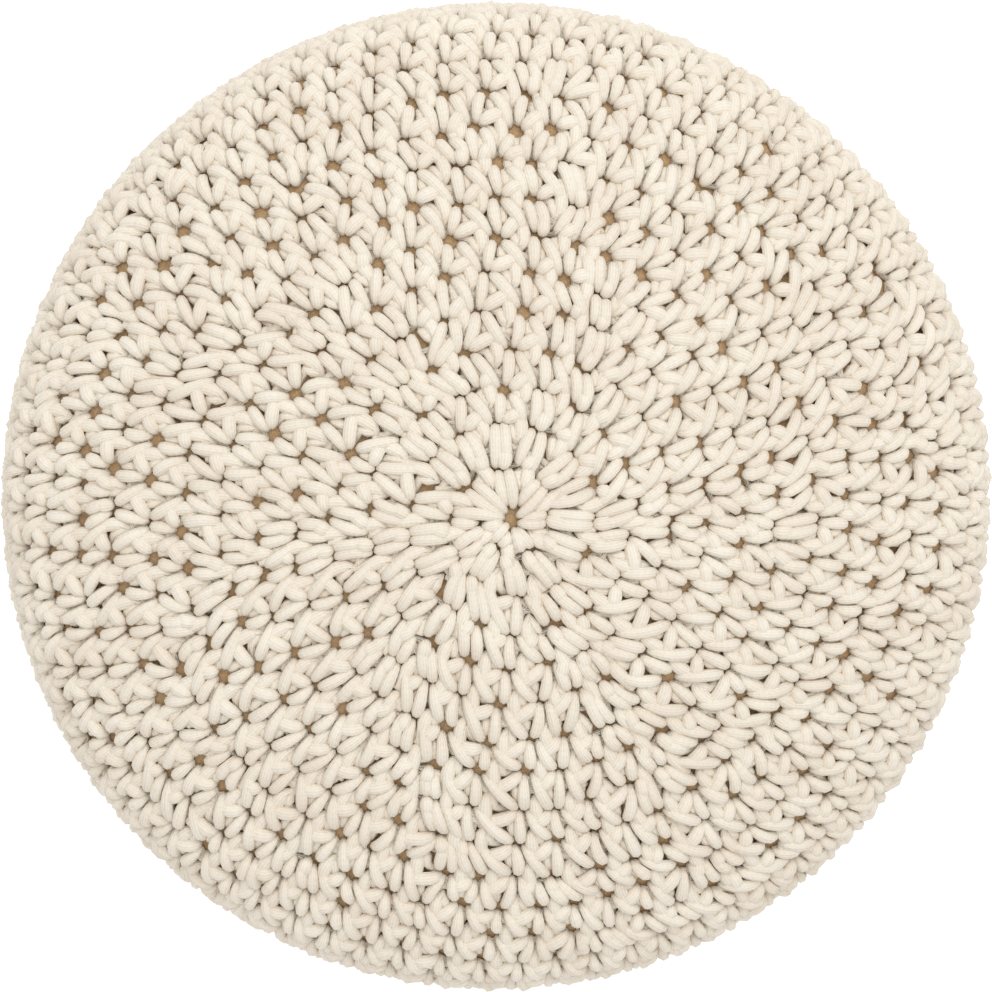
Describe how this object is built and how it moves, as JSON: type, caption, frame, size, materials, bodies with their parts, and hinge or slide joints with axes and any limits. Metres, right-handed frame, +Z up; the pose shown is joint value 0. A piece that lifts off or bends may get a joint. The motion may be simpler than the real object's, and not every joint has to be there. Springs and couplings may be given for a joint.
{
  "type": "crocheted pouf",
  "caption": "Round drum-shaped floor pouf with a domed crown: a thick cotton-cord cover crocheted in a spiral over a filled inner cushion, for sitting or as a footrest.",
  "frame": {"origin": "centre of the flat base, on the floor", "axes": "+Z up along the pouf's middle axis, +X and +Y across it, with +Y towards the top of the picture"},
  "size_m": [0.5, 0.5, 0.35],
  "materials": {
    "cotton_cord": "matt undyed cotton cord with a fine knitted surface",
    "inner_casing": "matt tan plain-woven cloth"
  },
  "bodies": {
    "root": {"crochet_cover": "cotton_cord", "inner_cushion": "inner_casing"}
  },
  "joints": []
}
